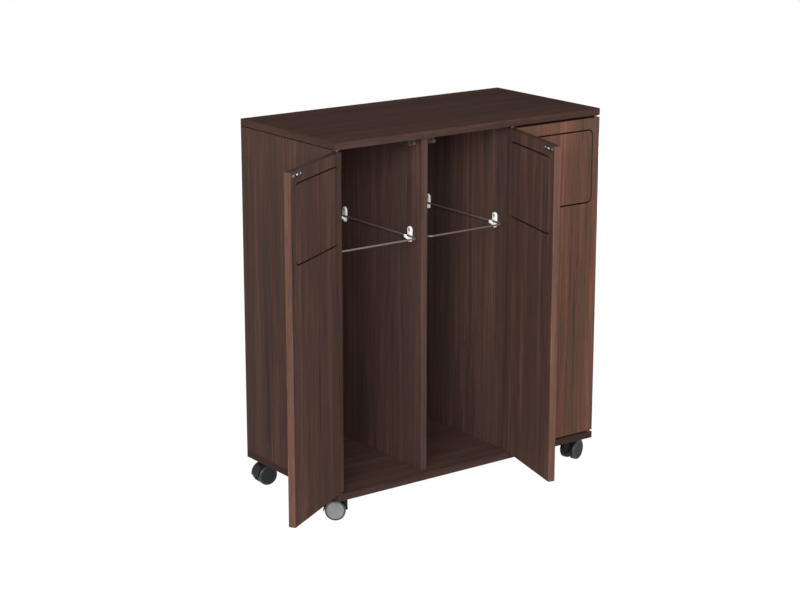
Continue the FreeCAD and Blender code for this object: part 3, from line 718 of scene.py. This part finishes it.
def camTree():
    tree, start = newTree("camLock", ("Radius", "Depth", "Slot Length", "Slot Width", "Slot Depth"))
    size = start.outputs
    drop = addNode(tree, "ShaderNodeMath", [size["Depth"], -0.5], operation="MULTIPLY")
    sink = addNode(tree, "ShaderNodeCombineXYZ", {"Z": drop})
    barrel = addNode(tree, "GeometryNodeMeshCylinder", {
        "Vertices": camLock["steps"], "Radius": size["Radius"], "Depth": size["Depth"]})
    body = addNode(tree, "GeometryNodeTransform", {"Geometry": barrel, "Translation": sink})
    deep = addNode(tree, "ShaderNodeMath", [size["Slot Depth"], 2.0], operation="MULTIPLY")
    notch = addNode(tree, "GeometryNodeMeshCylinder", {
        "Vertices": camLock["arrowCorners"], "Radius": camLock["arrowRadius"] * mm, "Depth": deep})
    arrow = addNode(tree, "GeometryNodeTransform", {
        "Geometry": notch, "Translation": (camLock["arrowPlace"] * mm, 0.0, 0.0)})
    spreadShape(tree, start, cutFace(tree, size, body, deep, arrow), "Z", False)
    return tree


uprightBoxes = [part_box(name) for name in uprights]
points, aims = [], []
for part in looseParts("cam_locks"):
    low, high = boxOf(part)
    middle = (low + high) / 2
    board = next(box for box in uprightBoxes if box[0].x < middle.x < box[1].x)
    outward = 1.0 if abs(high.x - board[1].x) < camLock["flushGap"] * mm else -1.0
    points.append(Vector((high.x if outward > 0 else low.x, middle.y, middle.z)))
    aims.append(Vector((outward, 0, 0)))
    camSize = high - low
settings = {"Radius": camSize.z / 2, "Depth": camSize.x, "Slot Length": camLock["slotLength"] * mm,
            "Slot Width": camLock["slotWidth"] * mm, "Slot Depth": camLock["slotDepth"] * mm,
            "Finish": zincSteel}
cams = growPiece("cross_slot_cam_locks", camTree(), points, aims, settings)
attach(cams, "cabinet")
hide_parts("cam_locks")
print("cam locks set:", len(points))


# Ring hooks: a pillowed wall plate, drilled for its screw, with a tongue that rises round the wire
hook = {
    "halfWidth": 7.0, "halfHeight": 16.75, "thickness": 4.0, "rimRound": 2.2,    # mm, the plate
    "wireDrop": 2.4,       # mm from the plate's middle down to the wire
    # mm out from the wall, and up from the wire's middle; the first and last points are in the plate
    "tongue": ((1.5, -6.82), (12.0, 1.38), (12.9, 4.3), (15.0, 0.6), (15.0, -2.5), (1.5, -13.0)),
    "tongueHalfWidth": 4.0, "tongueRound": 1.3,    # mm
    "holePlay": 0.15, "drillLength": 16.0,    # mm
    "rimSteps": 5, "turnSteps": 16, "tongueSteps": 4, "drillSteps": 40,
}


def hookPlate():
    mesh = bpy.data.meshes.new("hookPlate")
    work = bmesh.new()
    straight = hook["halfHeight"] - hook["halfWidth"]
    layers = [(0.0, 0.0)]
    for step in range(hook["rimSteps"] + 1):
        angle = math.pi / 2 * step / hook["rimSteps"]
        layers.append((hook["rimRound"] * (1 - math.cos(angle)),
                       hook["thickness"] - hook["rimRound"] * (1 - math.sin(angle))))
    rings = []
    for inset, out in layers:
        radius = hook["halfWidth"] - inset
        ring = []
        for half, rise in ((0, straight), (1, -straight)):
            for turn in range(hook["turnSteps"] + 1):
                angle = math.pi * (half + turn / hook["turnSteps"])
                spot = (out * mm, radius * math.cos(angle) * mm, (rise + radius * math.sin(angle)) * mm)
                ring.append(work.verts.new(spot))
        rings.append(ring)
    for lower, upper in zip(rings, rings[1:]):
        for place in range(len(lower)):
            after = (place + 1) % len(lower)
            work.faces.new((lower[place], lower[after], upper[after], upper[place]))
    work.faces.new(rings[-1])
    work.faces.new(rings[0][::-1])
    bmesh.ops.recalc_face_normals(work, faces=work.faces[:])
    work.to_mesh(mesh)
    work.free()
    return mesh


def hookTongue():
    mesh = bpy.data.meshes.new("hookTongue")
    work = bmesh.new()
    half = hook["tongueHalfWidth"] * mm
    drop = hook["wireDrop"]
    ends = []
    for y in (-half, half):
        ends.append([work.verts.new((x * mm, y, (z - drop) * mm)) for x, z in hook["tongue"]])
    count = len(hook["tongue"])
    work.faces.new(ends[0])
    work.faces.new(ends[1][::-1])
    for place in range(count):
        after = (place + 1) % count
        work.faces.new((ends[0][place], ends[1][place], ends[1][after], ends[0][after]))
    bmesh.ops.recalc_face_normals(work, faces=work.faces[:])
    root = hook["tongue"][0][0] * mm
    rims = [edge for edge in work.edges if not all(abs(v.co.x - root) < mergeGap * mm for v in edge.verts)]
    bmesh.ops.bevel(work, geom=rims, offset=hook["tongueRound"] * mm, segments=hook["tongueSteps"],
                    profile=roundProfile, affect="EDGES", clamp_overlap=True)
    work.to_mesh(mesh)
    work.free()
    return mesh


# straight drill for the screw's head, through the plate
def hookDrill(rise, radius):
    mesh = bpy.data.meshes.new("hookDrill")
    work = bmesh.new()
    bmesh.ops.create_cone(work, cap_ends=True, segments=hook["drillSteps"], radius1=radius, radius2=radius,
                          depth=hook["drillLength"] * mm)
    work.to_mesh(mesh)
    work.free()
    mesh.transform(Matrix.Translation((0.0, 0.0, rise)) @ Matrix.Rotation(math.pi / 2, 4, "Y"))
    return mesh


def hookShape(rise, radius):
    plate = bpy.data.objects.new("hookPlate", hookPlate())
    tongue = bpy.data.objects.new("hookTongue", hookTongue())
    drill = bpy.data.objects.new("hookDrill", hookDrill(rise, radius))
    for thing in (plate, tongue, drill):
        scene.collection.objects.link(thing)
    for tool, operation in ((tongue, "UNION"), (drill, "DIFFERENCE")):
        change = plate.modifiers.new(operation, "BOOLEAN")
        change.operation = operation
        change.object = tool
    bpy.context.view_layer.update()
    joined = bpy.data.meshes.new_from_object(plate.evaluated_get(bpy.context.evaluated_depsgraph_get()))
    plate.modifiers.clear()
    plate.data = joined
    bpy.data.objects.remove(tongue)
    bpy.data.objects.remove(drill)
    return plate


def hookTree(shape):
    tree, start = newTree("ringHooks", ())
    source = addNode(tree, "GeometryNodeObjectInfo", {"Object": shape}, transform_space="ORIGINAL")
    spreadShape(tree, start, source.outputs["Geometry"], "X", False)
    return tree


points, aims = [], []
for part in looseParts("ring_hooks"):
    low, high = boxOf(part)
    weight = sum(p.x for p in part) / len(part)
    inward = 1.0 if weight < (low.x + high.x) / 2 else -1.0
    points.append(Vector((low.x if inward > 0 else high.x, (low.y + high.y) / 2, (low.z + high.z) / 2)))
    aims.append(Vector((inward, 0, 0)))
hookScrew = screwPlaces("hook_screws")[0]
shape = hookShape(hookScrew["point"].z - points[0].z, hookScrew["head"] + hook["holePlay"] * mm)
hooks = growPiece("moulded_ring_hooks", hookTree(shape), points, aims, {"Finish": whiteHook})
bpy.data.objects.remove(shape)
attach(hooks, "cabinet")
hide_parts("ring_hooks")
print("ring hooks set:", len(points))


# Caster wheels: turned nylon rims, each with a shallow dished cap inside a groove
wheel = {
    # mm, the rim
    "treadRadius": 22.0, "width": 12.75, "boreRadius": 2.55, "boreDepth": 10.5,
    "innerRound": 1.2, "innerSteps": 4,
    "treadCrown": 0.25, "crownPlace": 0.45, "crownLeft": 0.4,    # shares of the width and of the crown
    "shoulder": 2.4, "shoulderTurn": 78, "shoulderSteps": 6,    # degrees of the round
    "lipRadius": 19.6, "lipInset": 0.2, "grooveInset": 0.35, "grooveDepth": 1.3,
    # mm, the cap
    "capRadius": 18.4, "capFoot": 0.1, "capSink": 0.1, "capRound": 1.1, "capSteps": 4,
    "capDish": 0.5, "dishPlaces": (0.75, 0.5), "hubDish": 0.9,    # shares of the radius and of the dish
    "hubRadius": 5.5, "hubSlope": 0.3, "hubStep": 0.25,
    "capEdge": 6,          # rings of the cap's edge that take the rim's painted highlight where the cap is dark
    # the wheel whose cap is the pale, lit copy
    "litCapCopy": "front_left_caster_left",
    "steps": 72,           # round the wheel
    "sharpAngle": 32,      # degrees
}


def roundStretch(centre, radius, start, end, count):
    stretch = []
    for step in range(count + 1):
        angle = math.radians(start + (end - start) * step / count)
        stretch.append((centre[0] + radius * math.cos(angle), centre[1] + radius * math.sin(angle)))
    return stretch


# outline as (radius, distance from the inner face); the cap starts where the groove ends
def wheelOutline():
    w = wheel
    rim = [(0.0, w["boreDepth"]), (w["boreRadius"], w["boreDepth"]), (w["boreRadius"], 0.0)]
    inner = w["treadRadius"] - w["innerRound"] - w["treadCrown"]
    rim += roundStretch((inner, w["innerRound"]), w["innerRound"], -90, 0, w["innerSteps"])
    rim.append((w["treadRadius"], w["width"] * w["crownPlace"]))
    shoulderStart = len(rim)
    outer = w["treadRadius"] - w["shoulder"] - w["treadCrown"] * w["crownLeft"]
    rim += roundStretch((outer, w["width"] - w["shoulder"]), w["shoulder"], 0, w["shoulderTurn"],
                        w["shoulderSteps"])
    floor = w["width"] - w["grooveDepth"]
    rim.append((w["lipRadius"] - w["lipInset"], w["width"]))
    rim.append((w["lipRadius"] - w["grooveInset"], floor))
    top = w["width"] - w["capSink"]
    cap = [(w["capRadius"] + w["capFoot"], floor), (w["capRadius"], floor)]
    cap += roundStretch((w["capRadius"] - w["capRound"], top - w["capRound"]), w["capRound"], 0, 90,
                        w["capSteps"])
    for share in w["dishPlaces"]:
        cap.append((w["capRadius"] * share, top - w["capDish"] * (1 - share ** 2)))
    dish = top - w["capDish"] * w["hubDish"]
    hub = dish + w["hubStep"]
    cap += [(w["hubRadius"], dish), (w["hubRadius"] - w["hubSlope"], hub), (0.0, hub)]
    return rim, cap, shoulderStart


def turnedWheel(name):
    rim, cap, shoulderStart = wheelOutline()
    isLitCap = name.startswith(wheel["litCapCopy"])
    capStart = len(rim) + (0 if isLitCap else wheel["capEdge"])
    steps = wheel["steps"]
    work = bmesh.new()
    rings = []
    for radius, rise in rim + cap:
        if radius == 0.0:
            rings.append([work.verts.new((0.0, rise * mm, 0.0))])
            continue
        ring = []
        for step in range(steps):
            angle = 2 * math.pi * step / steps
            spot = (radius * math.cos(angle) * mm, rise * mm, radius * math.sin(angle) * mm)
            ring.append(work.verts.new(spot))
        rings.append(ring)
    for level, (lower, upper) in enumerate(zip(rings, rings[1:])):
        for step in range(steps):
            after = (step + 1) % steps
            corner = [lower[step % len(lower)], lower[after % len(lower)], upper[after % len(upper)],
                      upper[step % len(upper)]]
            face = work.faces.new(list(dict.fromkeys(corner)))
            # tread, rim with its painted highlight, and cap are the mesh's three materials
            face.material_index = (level >= shoulderStart) + (level >= capStart)
    bmesh.ops.recalc_face_normals(work, faces=work.faces[:])
    mesh = bpy.data.meshes.new(name)
    work.to_mesh(mesh)
    work.free()
    mesh.shade_smooth()
    mesh.set_sharp_from_angle(angle=math.radians(wheel["sharpAngle"]))
    for finish in (casterBlack, casterRimHighlight, litCapCopy if isLitCap else casterCap):
        mesh.materials.append(finish)
    return mesh


for corner in corners:
    for hand in ("left", "right"):
        name = corner + "_caster_" + hand + "_wheel"
        joint = joints[name + "_spin"]
        centre = Vector(joint["pos_m"])
        low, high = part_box(name)
        outward = Vector(joint["axis"]).normalized()
        if outward.dot((low + high) / 2 - centre) < 0:
            outward = -outward
        innerFace = min(outward.dot(vert.co - centre) for vert in nodes[name].data.vertices)
        mesh = turnedWheel(name + "_turned")
        up = Vector((0, 0, 1))
        turn = Matrix((outward.cross(up), outward, up)).transposed().to_4x4()
        mesh.transform(Matrix.Translation(centre + outward * innerFace) @ turn)
        piece = bpy.data.objects.new(name + "_turned", mesh)
        scene.collection.objects.link(piece)
        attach(piece, name)
        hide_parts(name)
print("caster wheels turned")


# CAD pieces that keep their shape
dress(["back_panel"], hardboard)
dress(["wood_dowels"], beech)
dress(["cam_bolts"], zincSteel)
dress(["pivot_bushes"], bushNylon)
for side in sides:
    dress([side + "_bag_ring"], wireSteel)
    dress([side + "_latch_housing"], latchBody)
    dress([side + "_latch_plunger"], latchNose)
    dress([side + "_door_pins", side + "_flap_pins"], pinSteel)
for corner in corners:
    dress([corner + "_caster_plate", corner + "_caster_axle"], zincSteel)
    dress([corner + "_caster_hood"], casterBlack)
print("CAD pieces dressed")


# 1 for rays from the camera, straight or by way of a mirror or glass
def seenRays(tree):
    path = addNode(tree, "ShaderNodeLightPath")
    seen = addNode(tree, "ShaderNodeMath", [path.outputs["Is Camera Ray"], path.outputs["Is Glossy Ray"]],
                   operation="MAXIMUM")
    return addNode(tree, "ShaderNodeMath", [seen, path.outputs["Is Transmission Ray"]], operation="MAXIMUM")


# Floor: plain and pale, white to the camera but for the object's soft shadow
floorLook = {"reach": 14.0, "color": "#e4e4e4", "white": 0.80, "lift": 1.20}    # m each way
plainWhite = (1.0, 1.0, 1.0, 1.0)


def paleFloor():
    mesh = bpy.data.meshes.new("paleFloor")
    reach = floorLook["reach"]
    points = [(-reach, -reach, 0), (reach, -reach, 0), (reach, reach, 0), (-reach, reach, 0)]
    mesh.from_pydata(points, [], [(0, 1, 2, 3)])
    finish = bpy.data.materials.new("paleStudioFloor")
    finish.use_nodes = True
    tree = finish.node_tree
    tree.nodes.clear()
    share = addNode(tree, "ShaderNodeMath", [seenRays(tree), floorLook["white"]], operation="MULTIPLY")
    matt = addNode(tree, "ShaderNodeBsdfDiffuse", {"Color": linear(floorLook["color"])})
    glow = addNode(tree, "ShaderNodeEmission", {"Color": plainWhite, "Strength": floorLook["lift"]})
    mix = addNode(tree, "ShaderNodeMixShader", [share, matt, glow])
    addNode(tree, "ShaderNodeOutputMaterial", {"Surface": mix})
    mesh.materials.append(finish)
    floor = bpy.data.objects.new("paleFloor", mesh)
    scene.collection.objects.link(floor)


paleFloor()

# Light: an even white room, a wide soft lamp beside the camera and a weaker one behind the object
lightPlan = {
    "room": 0.22, "target": (-0.05, -0.1, 0.4),
    "softKey": {"power": 270.0, "width": 4.6, "height": 2.0, "place": (-2.70, -3.35, 1.95)},    # W, m
    "backFill": {"power": 140.0, "width": 0.8, "height": 0.8, "place": (2.80, 3.20, 0.45)},
}
world = bpy.data.worlds.new("whiteRoom")
scene.world = world
world.use_nodes = True
tree = world.node_tree
tree.nodes.clear()
strength = addNode(tree, "ShaderNodeMapRange", [seenRays(tree), 0.0, 1.0, lightPlan["room"], 1.0])
room = addNode(tree, "ShaderNodeBackground", {"Color": plainWhite, "Strength": strength})
addNode(tree, "ShaderNodeOutputWorld", {"Surface": room})


def aimAt(thing, place, target):
    thing.location = place
    thing.rotation_euler = (Vector(target) - Vector(place)).to_track_quat("-Z", "Y").to_euler()
    scene.collection.objects.link(thing)


for name in ("softKey", "backFill"):
    plan = lightPlan[name]
    lamp = bpy.data.lights.new(name, "AREA")
    lamp.energy = plan["power"]
    lamp.shape = "RECTANGLE"
    lamp.size = plan["width"]
    lamp.size_y = plan["height"]
    softLamp = bpy.data.objects.new(name, lamp)
    softLamp.visible_camera = False
    softLamp.visible_glossy = name == "softKey"    # the fill would draw a sheen across the top
    aimAt(softLamp, plan["place"], lightPlan["target"])

# Camera: the photograph's angle, without shift
view = {"lens": 91.88, "sensor": 36.0, "place": (-2.5875, -3.4220, 1.5419), "yaw": 36.446, "pitch": 15.004}
lens = bpy.data.cameras.new("photoCamera")
lens.lens = view["lens"]
lens.sensor_width = view["sensor"]
camera = bpy.data.objects.new("photoCamera", lens)
yaw, pitch = math.radians(view["yaw"]), math.radians(view["pitch"])
gaze = Vector((math.sin(yaw) * math.cos(pitch), math.cos(yaw) * math.cos(pitch), -math.sin(pitch)))
aimAt(camera, view["place"], Vector(view["place"]) + gaze)
scene.camera = camera
scene.view_settings.view_transform = "Standard"
print("light and camera set")
